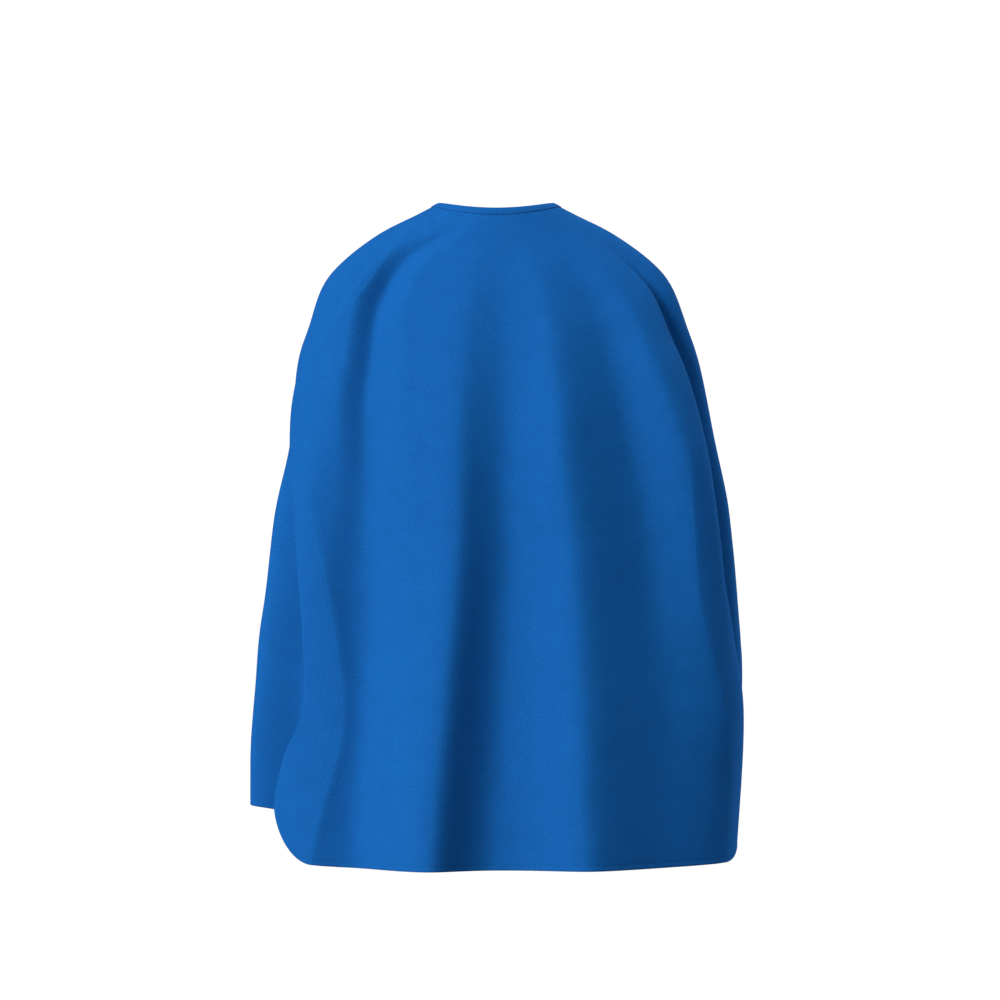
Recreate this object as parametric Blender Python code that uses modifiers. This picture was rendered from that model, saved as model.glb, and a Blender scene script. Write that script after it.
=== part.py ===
"""A knee-length superhero cape, hanging as it does on its wearer.

The wearer faces -Y and +Z is up. The origin is the middle of the neck opening, level with the nape.
Every piece lies on one draped surface. A place on it is an angle round the wearer (0 at the centre
back, positive towards the wearer's left), a drop down the cloth from the neck edge, and a lift off
the cloth, positive outwards.
"""
import math
from functools import lru_cache

import bmesh
import bpy
import numpy as np
from mathutils import Vector

OBJECT_NAME = "superhero_cape"

# Driving dimensions, in metres and radians
CAPE_LENGTH = 0.914
CLOTH_THICKNESS = 0.0010
GAP = 0.0003
SHAPE_SAMPLES = 240
PROFILE_SAMPLES = 600
PROFILE_SMOOTHING = 22
STEP = 0.002

# The hanging line of the cloth down the back, down the side and down the front: (distance from the
# neck's axis, height)
BACK_LINE = ((0.062, 0.000), (0.086, -0.045), (0.128, -0.140), (0.160, -0.290), (0.184, -0.570),
             (0.205, -0.896))
SIDE_LINE = ((0.082, 0.012), (0.111, -0.003), (0.164, -0.030), (0.214, -0.068), (0.243, -0.104),
             (0.262, -0.160), (0.279, -0.215), (0.295, -0.320), (0.312, -0.410), (0.328, -0.520),
             (0.341, -0.640), (0.344, -0.815))
FRONT_LINE = ((0.064, -0.058), (0.094, -0.098), (0.132, -0.200), (0.160, -0.440), (0.172, -0.920))
CORNER_FULLNESS = 0.11
LEFT_HEM_LEVELLING = 7.0
RIGHT_HEM_LEVELLING = 30.0
FRONT_HEM_LEVELLING = 0.5

# The front opening: half its width at the throat and at the hem
THROAT_HALF_GAP = 0.0030
HEM_HALF_GAP = 0.150
GAP_POWER = 0.80

# The cloth's grid
COLUMNS = 66
SHOULDER_ROWS = 7
SHOULDER_DROP = 0.240
LOWER_ROWS = 12
SECTION_SAMPLES = 900
BEND_RADIUS = 0.080
PLAIN_NECK = 0.030
HEM_ALLOWANCE = 0.007

# The neck band: a binding folded over the neck edge, with a stay tape inside it
BINDING_HEIGHT = 0.010
BINDING_THICKNESS = 0.0008
TAPE_THICKNESS = 0.0005
TAPE_HEIGHT = 0.0065
TAPE_TOP = 0.0008

# The throat closure, measured as angles from the centre front, positive towards the wearer's left
TAB_ROOT = 0.075
TAB_TIP = -0.640
TAB_TOP = 0.0010
TAB_BOTTOM = 0.0200
TAB_THICKNESS = 0.0012
STRIP_NEAR = -0.150
STRIP_FAR = -0.590
STRIP_TOP = 0.0030
STRIP_BOTTOM = 0.0095
HOOK_BOTTOM = 0.0180
STRIP_THICKNESS = 0.0010
TAB_COLUMNS = 12

# The care label inside the back of the neck
LABEL_HALF_ANGLE = 0.17
LABEL_TOP = 0.0118
LABEL_LENGTH = 0.0380
LABEL_LIFT = -0.0020
LABEL_THICKNESS = 0.0004

THREAD_RADIUS = 0.00030
THREAD_INSET = 0.0015
SHARPEST_HEM_TURN = 0.5

# Working lifts, outwards from the middle of the cloth
CLOTH_FACE = CLOTH_THICKNESS / 2
TAPE_LIFT = -(CLOTH_FACE + GAP + TAPE_THICKNESS / 2)
BINDING_OUTER_LIFT = CLOTH_FACE + GAP + BINDING_THICKNESS / 2
BINDING_INNER_LIFT = TAPE_LIFT - TAPE_THICKNESS / 2 - GAP - BINDING_THICKNESS / 2
BINDING_FACE = BINDING_OUTER_LIFT + BINDING_THICKNESS / 2
LOOP_LIFT = BINDING_FACE + GAP + STRIP_THICKNESS / 2
HOOK_LIFT = LOOP_LIFT + STRIP_THICKNESS + GAP
TAB_LIFT = HOOK_LIFT + STRIP_THICKNESS / 2 + GAP + TAB_THICKNESS / 2
TAB_ROOT_LIFT = BINDING_FACE + GAP + TAB_THICKNESS / 2


# ---------------------------------------------------------------- the draped surface

def smoothstep(value, start, end):
    t = min(max((value - start) / (end - start), 0.0), 1.0)
    return t * t * (3.0 - 2.0 * t)


def profile(*points):
    """A smooth function of the drop through a few (drop, value) points."""
    drops, values = zip(*points)
    fine = np.linspace(-0.1, CAPE_LENGTH + 0.1, PROFILE_SAMPLES)
    window = np.hanning(2 * PROFILE_SMOOTHING + 1)
    padded = np.pad(np.interp(fine, drops, values), PROFILE_SMOOTHING, mode="edge")
    smooth = np.convolve(padded, window / window.sum(), mode="valid")
    return lambda drop: float(np.interp(drop, fine, smooth))


def curve_through(points):
    """A smooth curve through the points, as arrays of length along it, distance and height."""
    knots = np.array((points[0],) + tuple(points) + (points[-1],))
    samples = []
    for step in range(SHAPE_SAMPLES + 1):
        place = min(step / SHAPE_SAMPLES * (len(points) - 1), len(points) - 1 - 1e-9)
        start = int(place)
        t = place - start
        before, near, far, after = knots[start:start + 4]
        samples.append(0.5 * (2 * near + (far - before) * t
                              + (2 * before - 5 * near + 4 * far - after) * t ** 2
                              + (3 * near - before - 3 * far + after) * t ** 3))
    samples = np.array(samples)
    steps = np.linalg.norm(np.diff(samples, axis=0), axis=1)
    lengths = np.concatenate(([0.0], np.cumsum(steps)))
    return lengths / lengths[-1], samples[:, 0], samples[:, 1]


BACK_CURVE = curve_through(BACK_LINE)
SIDE_CURVE = curve_through(SIDE_LINE)
FRONT_CURVE = curve_through(FRONT_LINE)


def curve_at(curve, drop):
    fraction = drop / CAPE_LENGTH
    return np.interp(fraction, curve[0], curve[1]), np.interp(fraction, curve[0], curve[2])


# Broad folds. Each is a route of (drop, angle), then its width to the wearer's right and left, its
# height as (drop, height), and how round its crest is.
BROAD_FOLDS = (
    # the two ridges down the middle of the back
    dict(route=profile((0.0, 0.18), (0.5, 0.18), (0.65, 0.215), (0.914, 0.27)), right=0.28, left=0.38,
         height=profile((0.06, 0.0), (0.20, 0.008), (0.38, 0.024), (0.50, 0.032), (0.65, 0.039),
                        (0.80, 0.044), (0.914, 0.046)),
         roundness=0.25),
    dict(route=profile((0.0, -0.32), (0.4, -0.315), (0.5, -0.34), (0.6, -0.335), (0.8, -0.34),
                       (0.914, -0.365)),
         right=0.38, left=0.32,
         height=profile((0.06, 0.0), (0.18, 0.012), (0.32, 0.026), (0.65, 0.034), (0.914, 0.036)),
         roundness=0.20),
    # the ridge by the right arm
    dict(route=profile((0.0, -0.74), (0.2, -0.82), (0.37, -0.86), (0.45, -0.89), (0.55, -0.92),
                       (0.914, -0.97)),
         right=0.34, left=0.26,
         height=profile((0.08, 0.0), (0.18, 0.012), (0.28, 0.022), (0.42, 0.023), (0.52, 0.016),
                        (0.65, 0.006), (0.80, 0.002)),
         roundness=0.25),
    # the long hollow down the left of the back, sharp by the shoulder and broad below
    dict(route=profile((0.02, 0.45), (0.045, 0.57), (0.10, 0.80), (0.14, 0.80), (0.19, 0.76), (0.27, 0.69),
                       (0.36, 0.63), (0.50, 0.60)), right=0.24, left=0.16,
         height=profile((0.02, 0.0), (0.09, -0.006), (0.15, -0.018), (0.25, -0.020), (0.38, -0.014),
                        (0.54, 0.0)),
         roundness=0.5),
    dict(route=profile((0.0, 0.66), (0.36, 0.65), (0.50, 0.625), (0.65, 0.615), (0.80, 0.615),
                       (0.914, 0.59)),
         right=0.28, left=0.30,
         height=profile((0.22, 0.0), (0.32, -0.004), (0.45, -0.016), (0.60, -0.027), (0.75, -0.030),
                        (0.914, -0.018)),
         roundness=0.48),
    # the far layers of the two side folds
    dict(route=profile((0.0, 1.30), (0.50, 1.24), (0.60, 1.17), (0.75, 1.15), (0.914, 1.20)), right=0.20,
         left=0.42,
         height=profile((0.40, 0.0), (0.52, 0.020), (0.66, 0.034), (0.914, 0.036)), roundness=0.30),
    dict(route=profile((0.0, -1.30), (0.914, -1.34)), right=0.36, left=0.24,
         height=profile((0.10, 0.0), (0.25, 0.014), (0.50, 0.022), (0.70, 0.014), (0.914, 0.008)),
         roundness=0.45),
    # the front of the cape
    dict(route=profile((0.0, 1.98), (0.45, 2.00), (0.914, 2.06)), right=0.26, left=0.24,
         height=profile((0.12, 0.0), (0.40, 0.016), (0.914, 0.030)), roundness=0.28),
    dict(route=profile((0.0, 2.42), (0.45, 2.40), (0.914, 2.46)), right=0.22, left=0.20,
         height=profile((0.18, 0.0), (0.45, 0.012), (0.914, 0.026)), roundness=0.28),
    dict(route=profile((0.0, -1.90), (0.45, -1.94), (0.914, -1.98)), right=0.24, left=0.26,
         height=profile((0.10, 0.0), (0.40, 0.018), (0.914, 0.032)), roundness=0.28),
    dict(route=profile((0.0, -2.36), (0.45, -2.34), (0.914, -2.38)), right=0.20, left=0.24,
         height=profile((0.22, 0.0), (0.50, 0.012), (0.914, 0.022)), roundness=0.30),
    dict(route=profile((0.0, 1.70), (0.914, 1.72)), right=0.22, left=0.20,
         height=profile((0.20, 0.0), (0.45, -0.012), (0.914, -0.018)), roundness=0.45),
    dict(route=profile((0.0, -1.64), (0.914, -1.66)), right=0.20, left=0.22,
         height=profile((0.20, 0.0), (0.45, -0.012), (0.914, -0.018)), roundness=0.45),
)

# Side folds, where the back of the cloth laps over its front: the route of the fold's middle, its
# half width, how far it laps (in half widths), how far its layers stand apart, and how far the hem
# rises where it turns round the lapping edge.
SIDE_FOLDS = (
    dict(route=profile((0.0, 1.05), (0.09, 1.02), (0.18, 0.97), (0.23, 1.03), (0.29, 1.20), (0.36, 1.22),
                       (0.42, 1.12), (0.47, 1.01), (0.52, 0.93), (0.60, 0.87), (0.70, 0.81),
                       (0.76, 0.82), (0.82, 0.87), (0.914, 0.93)),
         half_width=profile((0.05, 0.07), (0.20, 0.09), (0.40, 0.12), (0.65, 0.15), (0.914, 0.16)),
         lap=profile((0.05, 0.0), (0.12, 0.42), (0.30, 0.45), (0.45, 0.60), (0.65, 0.75), (0.914, 0.80)),
         depth=profile((0.05, 0.0), (0.12, 0.006), (0.30, 0.009), (0.42, 0.018), (0.55, 0.034),
                       (0.914, 0.040)),
         hem_rise=0.068, far_share=0.62),
    dict(route=profile((0.0, -1.08), (0.20, -1.05), (0.36, -1.02), (0.47, -0.99), (0.57, -0.99),
                       (0.68, -1.08), (0.80, -1.17), (0.914, -1.20)),
         half_width=profile((0.10, 0.08), (0.30, 0.11), (0.60, 0.14), (0.914, 0.15)),
         lap=profile((0.10, 0.0), (0.18, 0.42), (0.35, 0.55), (0.60, 0.75), (0.914, 0.80)),
         depth=profile((0.10, 0.0), (0.20, 0.010), (0.35, 0.022), (0.60, 0.030), (0.914, 0.030)),
         hem_rise=0.012, far_share=1.0),
)

# How much of the side line's width the cloth keeps on the wearer's left and right
LEFT_SHARE = profile((0.30, 1.0), (0.38, 0.985), (0.46, 0.955), (0.54, 0.927), (0.62, 0.908), (0.72, 0.900),
                     (0.82, 0.915))
RIGHT_SHARE = profile((0.12, 1.0), (0.30, 0.97), (0.55, 0.975), (0.70, 0.985), (0.80, 0.96), (0.914, 0.93))


def base_point(angle, drop):
    """The smooth hanging surface, before any fold."""
    sine, cosine = math.sin(angle), math.cos(angle)
    half_width, side_height = curve_at(SIDE_CURVE, drop)
    depth, end_height = curve_at(BACK_CURVE if cosine > 0 else FRONT_CURVE, drop)
    fullness = 1.0 + CORNER_FULLNESS * math.sin(2 * angle) ** 2 * smoothstep(drop, 0.10, 0.45)
    if cosine > 0:
        levelling = LEFT_HEM_LEVELLING if sine > 0 else RIGHT_HEM_LEVELLING
    else:
        levelling = FRONT_HEM_LEVELLING
    rise = abs(sine) ** (2.0 + levelling * smoothstep(drop, 0.30, CAPE_LENGTH) ** 2)
    height = side_height * rise + end_height * (1.0 - rise)
    reach = half_width * (LEFT_SHARE(drop) if sine > 0 else RIGHT_SHARE(drop))
    return Vector((reach * sine * fullness, depth * cosine * fullness, height))


def way_down(surface, angle, drop):
    """A short step down a surface, taken just above the hem where there is no cloth below."""
    upper = min(drop, CAPE_LENGTH - STEP)
    return surface(angle, upper + STEP) - surface(angle, upper)


def tent(across, roundness):
    """A fold's section: 1 on its crest, 0 from 1 outwards, with hollow flanks and a rounded crest."""
    run = (math.hypot(across, roundness) - roundness) / (math.hypot(1.0, roundness) - roundness)
    return max(1.0 - run, 0.0) ** 2


def folded_angle_lift_and_rise(angle, drop):
    """Where the folds put the cloth: the angle it moves to, how far out it stands and how much it rises."""
    lift = 0.0
    for fold in BROAD_FOLDS:
        across = angle - fold["route"](drop)
        width = fold["left"] if across > 0 else fold["right"]
        if abs(across) < width:
            lift += fold["height"](drop) * tent(across / width, fold["roundness"])
    shifted = angle
    rise = 0.0
    for fold in SIDE_FOLDS:
        route, half_width = fold["route"](drop), fold["half_width"](drop)
        side = math.copysign(1.0, route)
        across = side * (angle - route) / half_width
        inside = min(max(across, -1.0), 1.0)
        shifted -= side * fold["lap"](drop) * half_width * math.sin(math.pi * inside)
        fade = max(1.0 - abs(across) / 3.2, 0.0) ** 2
        lift -= fold["depth"](drop) * math.sin(0.5 * math.pi * inside) * fade
        turned = (smoothstep(across, -1.0, -0.3) * (1.0 - smoothstep(across, 0.8, 3.5))
                  * (1.0 - (1.0 - fold["far_share"]) * smoothstep(across, 0.0, 0.6))
                  + 0.25 * math.exp(-((across - 0.1) / 0.3) ** 2))
        rise += fold["hem_rise"] * turned * smoothstep(drop, 0.65, CAPE_LENGTH)
    return shifted, lift, rise


def draped(angle, drop):
    """A point of the folded cloth's middle surface."""
    shifted, lift, rise = folded_angle_lift_and_rise(angle, drop)
    point = base_point(shifted, drop)
    round_way = base_point(shifted + STEP, drop) - base_point(shifted - STEP, drop)
    outward = round_way.cross(way_down(base_point, shifted, drop)).normalized()
    return point + outward * lift + Vector((0.0, 0.0, rise))


def cloth_axes(angle, drop):
    """The directions round, down and out of the cloth at a place."""
    drop = max(drop, 0.0)
    round_way = (draped(angle + STEP, drop) - draped(angle - STEP, drop)).normalized()
    down = way_down(draped, angle, drop).normalized()
    out = round_way.cross(down).normalized()
    return round_way, down, out


def cloth_point(angle, drop, lift=0.0):
    """A point at a lift off the cloth. A negative drop stands above the neck edge."""
    round_way, down, out = cloth_axes(angle, drop)
    return draped(angle, max(drop, 0.0)) + down * min(drop, 0.0) + out * lift


def front_edge(drop):
    """The angle of the cloth's front edge at this drop."""
    half_width = curve_at(SIDE_CURVE, drop)[0]
    half_gap = THROAT_HALF_GAP + (HEM_HALF_GAP - THROAT_HALF_GAP) * (drop / CAPE_LENGTH) ** GAP_POWER
    return math.pi - math.asin(half_gap / half_width)


@lru_cache(maxsize=None)
def column_angles(drop):
    """Where the cloth's columns cross this drop: evenly along the cloth, but closer where it bends."""
    edge = front_edge(drop)
    if 0.0 < drop < PLAIN_NECK:
        return column_angles(0.0) * edge / front_edge(0.0)
    angles = np.linspace(-edge, edge, SECTION_SAMPLES + 1)
    steps = np.diff([draped(angle, drop) for angle in angles], axis=0)
    lengths = np.linalg.norm(steps, axis=1)
    ways = steps / lengths[:, None]
    turning = np.arccos(np.clip((ways[1:] * ways[:-1]).sum(axis=1), -1.0, 1.0))
    bends = BEND_RADIUS * np.concatenate(([0.0], turning)) * smoothstep(drop, 0.0, 0.4)
    share = np.concatenate(([0.0], np.cumsum(lengths + bends)))
    return np.interp(np.linspace(0.0, share[-1], COLUMNS + 1), share, angles)


def cloth_rows():
    """Drops of the cloth's rows: one under the binding, close together over the shoulders, wider apart
    below them, and the turned hem."""
    turn = CAPE_LENGTH - HEM_ALLOWANCE
    shoulder = np.linspace(0.028, SHOULDER_DROP, SHOULDER_ROWS, endpoint=False)
    below = np.linspace(SHOULDER_DROP, turn, LOWER_ROWS, endpoint=False)
    return [0.0, BINDING_HEIGHT, *shoulder, *below, turn, CAPE_LENGTH]


# ---------------------------------------------------------------- building blocks

def clear_scene():
    for scene_object in list(bpy.data.objects):
        bpy.data.objects.remove(scene_object, do_unlink=True)


def make_material(name, colour, roughness):
    material = bpy.data.materials.new(name)
    material.use_nodes = True
    shader = material.node_tree.nodes["Principled BSDF"]
    shader.inputs["Base Color"].default_value = (*colour, 1.0)
    shader.inputs["Roughness"].default_value = roughness
    shader.inputs["Metallic"].default_value = 0.0
    material.diffuse_color = (*colour, 1.0)
    return material


def add_piece(name, data, material, collection):
    piece = bpy.data.objects.new(name, data)
    piece.data.materials.append(material)
    collection.objects.link(piece)
    return piece


def add_sheet(name, across, down, place, thickness, material, collection):
    """A thin sheet: a grid whose corner (i, j) goes to place(across[i], down[j]), then thickened."""
    grid = bmesh.new()
    bmesh.ops.create_grid(grid, x_segments=len(across) - 1, y_segments=len(down) - 1, size=0.5)
    for corner in grid.verts:
        column = round((corner.co.x + 0.5) * (len(across) - 1))
        row = round((0.5 - corner.co.y) * (len(down) - 1))
        corner.co = place(across[column], down[row])
    mesh = bpy.data.meshes.new(name)
    grid.to_mesh(mesh)
    grid.free()
    piece = add_piece(name, mesh, material, collection)
    mesh.shade_smooth()
    shell = piece.modifiers.new("thickness", 'SOLIDIFY')
    shell.thickness = thickness
    shell.offset = 0.0
    return piece


def add_thread(name, points, material, collection, closed=False):
    """A round thread through the points."""
    curve = bpy.data.curves.new(name, 'CURVE')
    curve.dimensions = '3D'
    curve.bevel_depth = THREAD_RADIUS
    curve.bevel_resolution = 2
    curve.use_fill_caps = True
    run = curve.splines.new('POLY')
    run.points.add(len(points) - 1)
    for target, point in zip(run.points, points):
        target.co = (*point, 1.0)
    run.use_cyclic_u = closed
    return add_piece(name, curve, material, collection)


def patch_outline(first_angle, last_angle, top, bottom, lift, steps=8):
    """Points round the border of a patch that lies on the cloth, at lift(angle)."""
    angles = np.linspace(first_angle, last_angle, steps + 1)
    upper = [cloth_point(angle, top, lift(angle)) for angle in angles]
    lower = [cloth_point(angle, bottom, lift(angle)) for angle in reversed(angles)]
    return upper + lower


# ---------------------------------------------------------------- the cloth and its hems

def add_cape_panel(materials, collection):
    def place(column, drop):
        return cloth_point(column_angles(drop)[column], drop)

    add_sheet("cape_panel", range(COLUMNS + 1), cloth_rows(), place, CLOTH_THICKNESS,
              materials["cloth"], collection)


def add_hem_thread(materials, collection):
    """The row of stitches that holds the turned hem, on the inside of the cloth. It runs along the
    cloth's facets and straight across the inside of the sharpest turns."""
    drop = CAPE_LENGTH - HEM_ALLOWANCE
    lift = -(CLOTH_FACE + GAP * 4 + THREAD_RADIUS)
    angles = column_angles(drop)
    corners = [cloth_point(angle, drop) for angle in angles]
    points = []
    for before, corner, after, angle in zip(corners, corners[1:], corners[2:], angles[1:]):
        down = cloth_axes(angle, drop)[1]
        near = (corner - before).cross(down).normalized()
        far = (after - corner).cross(down).normalized()
        if near.cross(far).dot(down) < SHARPEST_HEM_TURN:
            points.append(corner + (near + far) * (lift / (1.0 + near.dot(far))))
    add_thread("hem_thread", points, materials["thread"], collection)


def add_front_edge_thread(name, side, materials, collection):
    """The row of stitches that holds one turned front edge, on the inside of the cloth."""
    lift = -(CLOTH_FACE + GAP * 2 + THREAD_RADIUS)
    drops = cloth_rows()[3:-2]
    last, beside = (-1, -2) if side > 0 else (0, 1)
    points = []
    for drop in drops:
        angles = column_angles(drop)
        points.append(cloth_point(0.75 * angles[last] + 0.25 * angles[beside], drop, lift))
    add_thread(name, points, materials["thread"], collection)


# ---------------------------------------------------------------- the neck band

def band_angles():
    """The cloth's own columns along the neck edge, so that the band's facets lie along the cloth's."""
    return column_angles(0.0)


def add_neck_binding(materials, collection):
    """A strip folded over the neck edge: down the outside, over the top and down the inside."""
    middle = (BINDING_OUTER_LIFT + BINDING_INNER_LIFT) / 2
    radius = (BINDING_OUTER_LIFT - BINDING_INNER_LIFT) / 2
    turn = [("turn", math.pi * step / 6) for step in range(7)]
    section = [("outside", BINDING_HEIGHT)] + turn + [("inside", BINDING_HEIGHT)]

    def place(angle, spot):
        part, value = spot
        if part == "outside":
            return cloth_point(angle, value, BINDING_OUTER_LIFT)
        if part == "inside":
            return cloth_point(angle, value, BINDING_INNER_LIFT)
        return cloth_point(angle, -radius * math.sin(value) - GAP, middle + radius * math.cos(value))

    add_sheet("neck_binding", band_angles(), section, place, BINDING_THICKNESS,
              materials["cloth"], collection)


def add_neck_stay_tape(materials, collection):
    """The woven tape inside the binding, which stops the knitted neck from stretching."""
    drops = (TAPE_TOP, TAPE_TOP + TAPE_HEIGHT)
    add_sheet("neck_stay_tape", band_angles(), drops,
              lambda angle, drop: cloth_point(angle, drop, TAPE_LIFT), TAPE_THICKNESS,
              materials["tape"], collection)


def add_neck_binding_thread(materials, collection):
    """The row of stitches just above the binding's lower edge, broken at the closure."""
    drop = BINDING_HEIGHT - THREAD_INSET
    lift = BINDING_FACE + GAP + THREAD_RADIUS
    angles = [angle for angle in band_angles() if abs(angle) < math.pi + TAB_TIP - 0.05]
    points = [cloth_point(angle, drop, lift) for angle in angles]
    add_thread("neck_binding_thread", points, materials["thread"], collection)


# ---------------------------------------------------------------- the throat closure

def from_front(front_angle):
    """An angle from the centre front as an angle round the wearer, left continuous past the front."""
    return math.pi - front_angle


def tab_lift(front_angle):
    """The tab starts on the left end of the band and rises over the fastening on the right end."""
    rise = smoothstep(-front_angle, -TAB_ROOT, -STRIP_NEAR)
    return TAB_ROOT_LIFT + (TAB_LIFT - TAB_ROOT_LIFT) * rise


def add_closure_tab(materials, collection):
    angles = np.linspace(TAB_ROOT, TAB_TIP, TAB_COLUMNS + 1)
    drops = (TAB_TOP, (TAB_TOP + TAB_BOTTOM) / 2, TAB_BOTTOM)

    def place(front_angle, drop):
        return cloth_point(from_front(front_angle), drop, tab_lift(front_angle))

    add_sheet("closure_tab", angles, drops, place, TAB_THICKNESS, materials["cloth"], collection)


def add_fastening_strip(name, bottom, lift, material, collection):
    angles = np.linspace(STRIP_NEAR, STRIP_FAR, TAB_COLUMNS + 1)
    add_sheet(name, angles, (STRIP_TOP, bottom),
              lambda front_angle, drop: cloth_point(from_front(front_angle), drop, lift),
              STRIP_THICKNESS, material, collection)


def add_patch_thread(name, first, last, top, bottom, lift, materials, collection):
    """Stitches round a patch, a little inside its border."""
    inset_angle = 0.02
    points = patch_outline(from_front(first - inset_angle), from_front(last + inset_angle),
                           top + THREAD_INSET, bottom - THREAD_INSET, lift)
    add_thread(name, points, materials["thread"], collection, closed=True)


def add_closure(materials, collection):
    add_closure_tab(materials, collection)
    add_fastening_strip("hook_strip", HOOK_BOTTOM, HOOK_LIFT, materials["hook"], collection)
    add_fastening_strip("loop_strip", STRIP_BOTTOM, LOOP_LIFT, materials["loop"], collection)
    outside_tab = TAB_LIFT + TAB_THICKNESS / 2 + GAP + THREAD_RADIUS
    inside_band = BINDING_INNER_LIFT - BINDING_THICKNESS / 2 - GAP - THREAD_RADIUS
    add_patch_thread("hook_strip_thread", STRIP_NEAR, STRIP_FAR, STRIP_TOP, HOOK_BOTTOM,
                     lambda angle: outside_tab, materials, collection)
    add_patch_thread("loop_strip_thread", STRIP_NEAR, STRIP_FAR, STRIP_TOP, STRIP_BOTTOM,
                     lambda angle: inside_band, materials, collection)
    add_tab_seam_thread(materials, collection)


def add_tab_seam_thread(materials, collection):
    """The stitches down the sewn root of the tab."""
    front_angle = TAB_ROOT - 0.022
    lift = tab_lift(front_angle) + TAB_THICKNESS / 2 + GAP + THREAD_RADIUS
    drops = np.linspace(TAB_TOP + THREAD_INSET, TAB_BOTTOM - THREAD_INSET, 5)
    points = [cloth_point(from_front(front_angle), drop, lift) for drop in drops]
    add_thread("closure_tab_seam_thread", points, materials["thread"], collection)


# ---------------------------------------------------------------- the care label

def add_care_label(materials, collection):
    """A blank woven label, sewn by its top edge below the neck seam and hanging free from it."""
    side = cloth_point(LABEL_HALF_ANGLE, LABEL_TOP, LABEL_LIFT)
    top = Vector((0.0, side.y, side.z))
    widths = np.linspace(-side.x, side.x, 5)
    add_sheet("care_label", widths, np.linspace(0.0, LABEL_LENGTH, 4),
              lambda x, down: top + Vector((x, 0.0, -down)), LABEL_THICKNESS,
              materials["label"], collection)
    face = LABEL_THICKNESS / 2 + GAP + THREAD_RADIUS
    points = [top + Vector((x, -face, -THREAD_INSET)) for x in widths]
    add_thread("care_label_thread", points, materials["thread"], collection)


# ---------------------------------------------------------------- the whole cape

def make_materials():
    return {
        "cloth": make_material("blue_double_knit", (0.010, 0.080, 0.340), 0.85),
        "thread": make_material("blue_thread", (0.012, 0.070, 0.280), 0.60),
        "tape": make_material("blue_woven_tape", (0.012, 0.060, 0.250), 0.80),
        "hook": make_material("navy_hook_tape", (0.008, 0.020, 0.070), 0.55),
        "loop": make_material("navy_loop_tape", (0.010, 0.028, 0.095), 0.95),
        "label": make_material("white_woven_label", (0.820, 0.820, 0.800), 0.70),
    }


def main():
    clear_scene()
    collection = bpy.data.collections.new(OBJECT_NAME)
    bpy.context.scene.collection.children.link(collection)
    materials = make_materials()
    add_cape_panel(materials, collection)
    add_hem_thread(materials, collection)
    add_front_edge_thread("front_edge_thread_left", 1.0, materials, collection)
    add_front_edge_thread("front_edge_thread_right", -1.0, materials, collection)
    add_neck_binding(materials, collection)
    add_neck_stay_tape(materials, collection)
    add_neck_binding_thread(materials, collection)
    add_closure(materials, collection)
    add_care_label(materials, collection)


main()
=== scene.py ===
"""A superhero cape of blue double knit, hanging as it does from its wearer's neck and shoulders.

The wearer faces -Y and +Z is up. A place on the cloth is an angle round the wearer (0 at the centre
back, positive towards the wearer's left), a drop down the cloth from the neck edge, and a lift off
the cloth, positive outwards.
"""
import math

import bpy
import numpy as np
from bpy.props import FloatProperty, FloatVectorProperty, PointerProperty
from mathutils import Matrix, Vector


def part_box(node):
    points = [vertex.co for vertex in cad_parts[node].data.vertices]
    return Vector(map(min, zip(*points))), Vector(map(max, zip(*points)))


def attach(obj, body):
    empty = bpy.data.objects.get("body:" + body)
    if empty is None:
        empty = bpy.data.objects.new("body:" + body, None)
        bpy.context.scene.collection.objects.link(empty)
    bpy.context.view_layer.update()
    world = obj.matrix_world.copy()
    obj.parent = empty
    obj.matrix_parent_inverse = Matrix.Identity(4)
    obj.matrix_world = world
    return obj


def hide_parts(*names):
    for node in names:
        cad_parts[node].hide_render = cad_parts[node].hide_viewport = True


bl_info = {
    "name": "Superhero cape",
    "version": (1, 0, 0),
    "blender": (4, 5, 0),
    "location": "View3D > Sidebar > Cape",
    "description": "Builds a hanging costume cape with its neck band and throat fastening",
    "category": "Add Mesh",
}

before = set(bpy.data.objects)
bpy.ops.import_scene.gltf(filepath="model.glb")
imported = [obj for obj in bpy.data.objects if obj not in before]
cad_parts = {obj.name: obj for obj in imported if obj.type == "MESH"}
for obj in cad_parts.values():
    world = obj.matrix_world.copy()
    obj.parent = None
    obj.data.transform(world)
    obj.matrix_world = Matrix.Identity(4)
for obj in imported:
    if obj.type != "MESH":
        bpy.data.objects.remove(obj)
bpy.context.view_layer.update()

# The hanging line of the cloth down the back, down the side and down the front: (distance from the
# neck's axis, height)
CAPE_LENGTH = 0.914
BACK_LINE = ((0.062, 0.000), (0.086, -0.045), (0.128, -0.140), (0.160, -0.290), (0.184, -0.570),
             (0.205, -0.896))
SIDE_LINE = ((0.082, 0.012), (0.111, -0.003), (0.164, -0.030), (0.214, -0.068), (0.243, -0.104),
             (0.262, -0.160), (0.279, -0.215), (0.295, -0.320), (0.312, -0.410), (0.328, -0.520),
             (0.341, -0.640), (0.344, -0.815))
FRONT_LINE = ((0.064, -0.058), (0.094, -0.098), (0.132, -0.200), (0.160, -0.440), (0.172, -0.920))
CORNER_FULLNESS = 0.11
FULLNESS_DROPS = (0.10, 0.45)
LEFT_HEM_LEVELLING = 7.0
RIGHT_HEM_LEVELLING = 30.0
FRONT_HEM_LEVELLING = 0.5
LEVELLING_START = 0.30
HEM_RISE_START = 0.65
SIDE_FOLD_REACH = 3.2
THROAT_HALF_GAP = 0.0030
HEM_HALF_GAP = 0.150
GAP_POWER = 0.80

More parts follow.
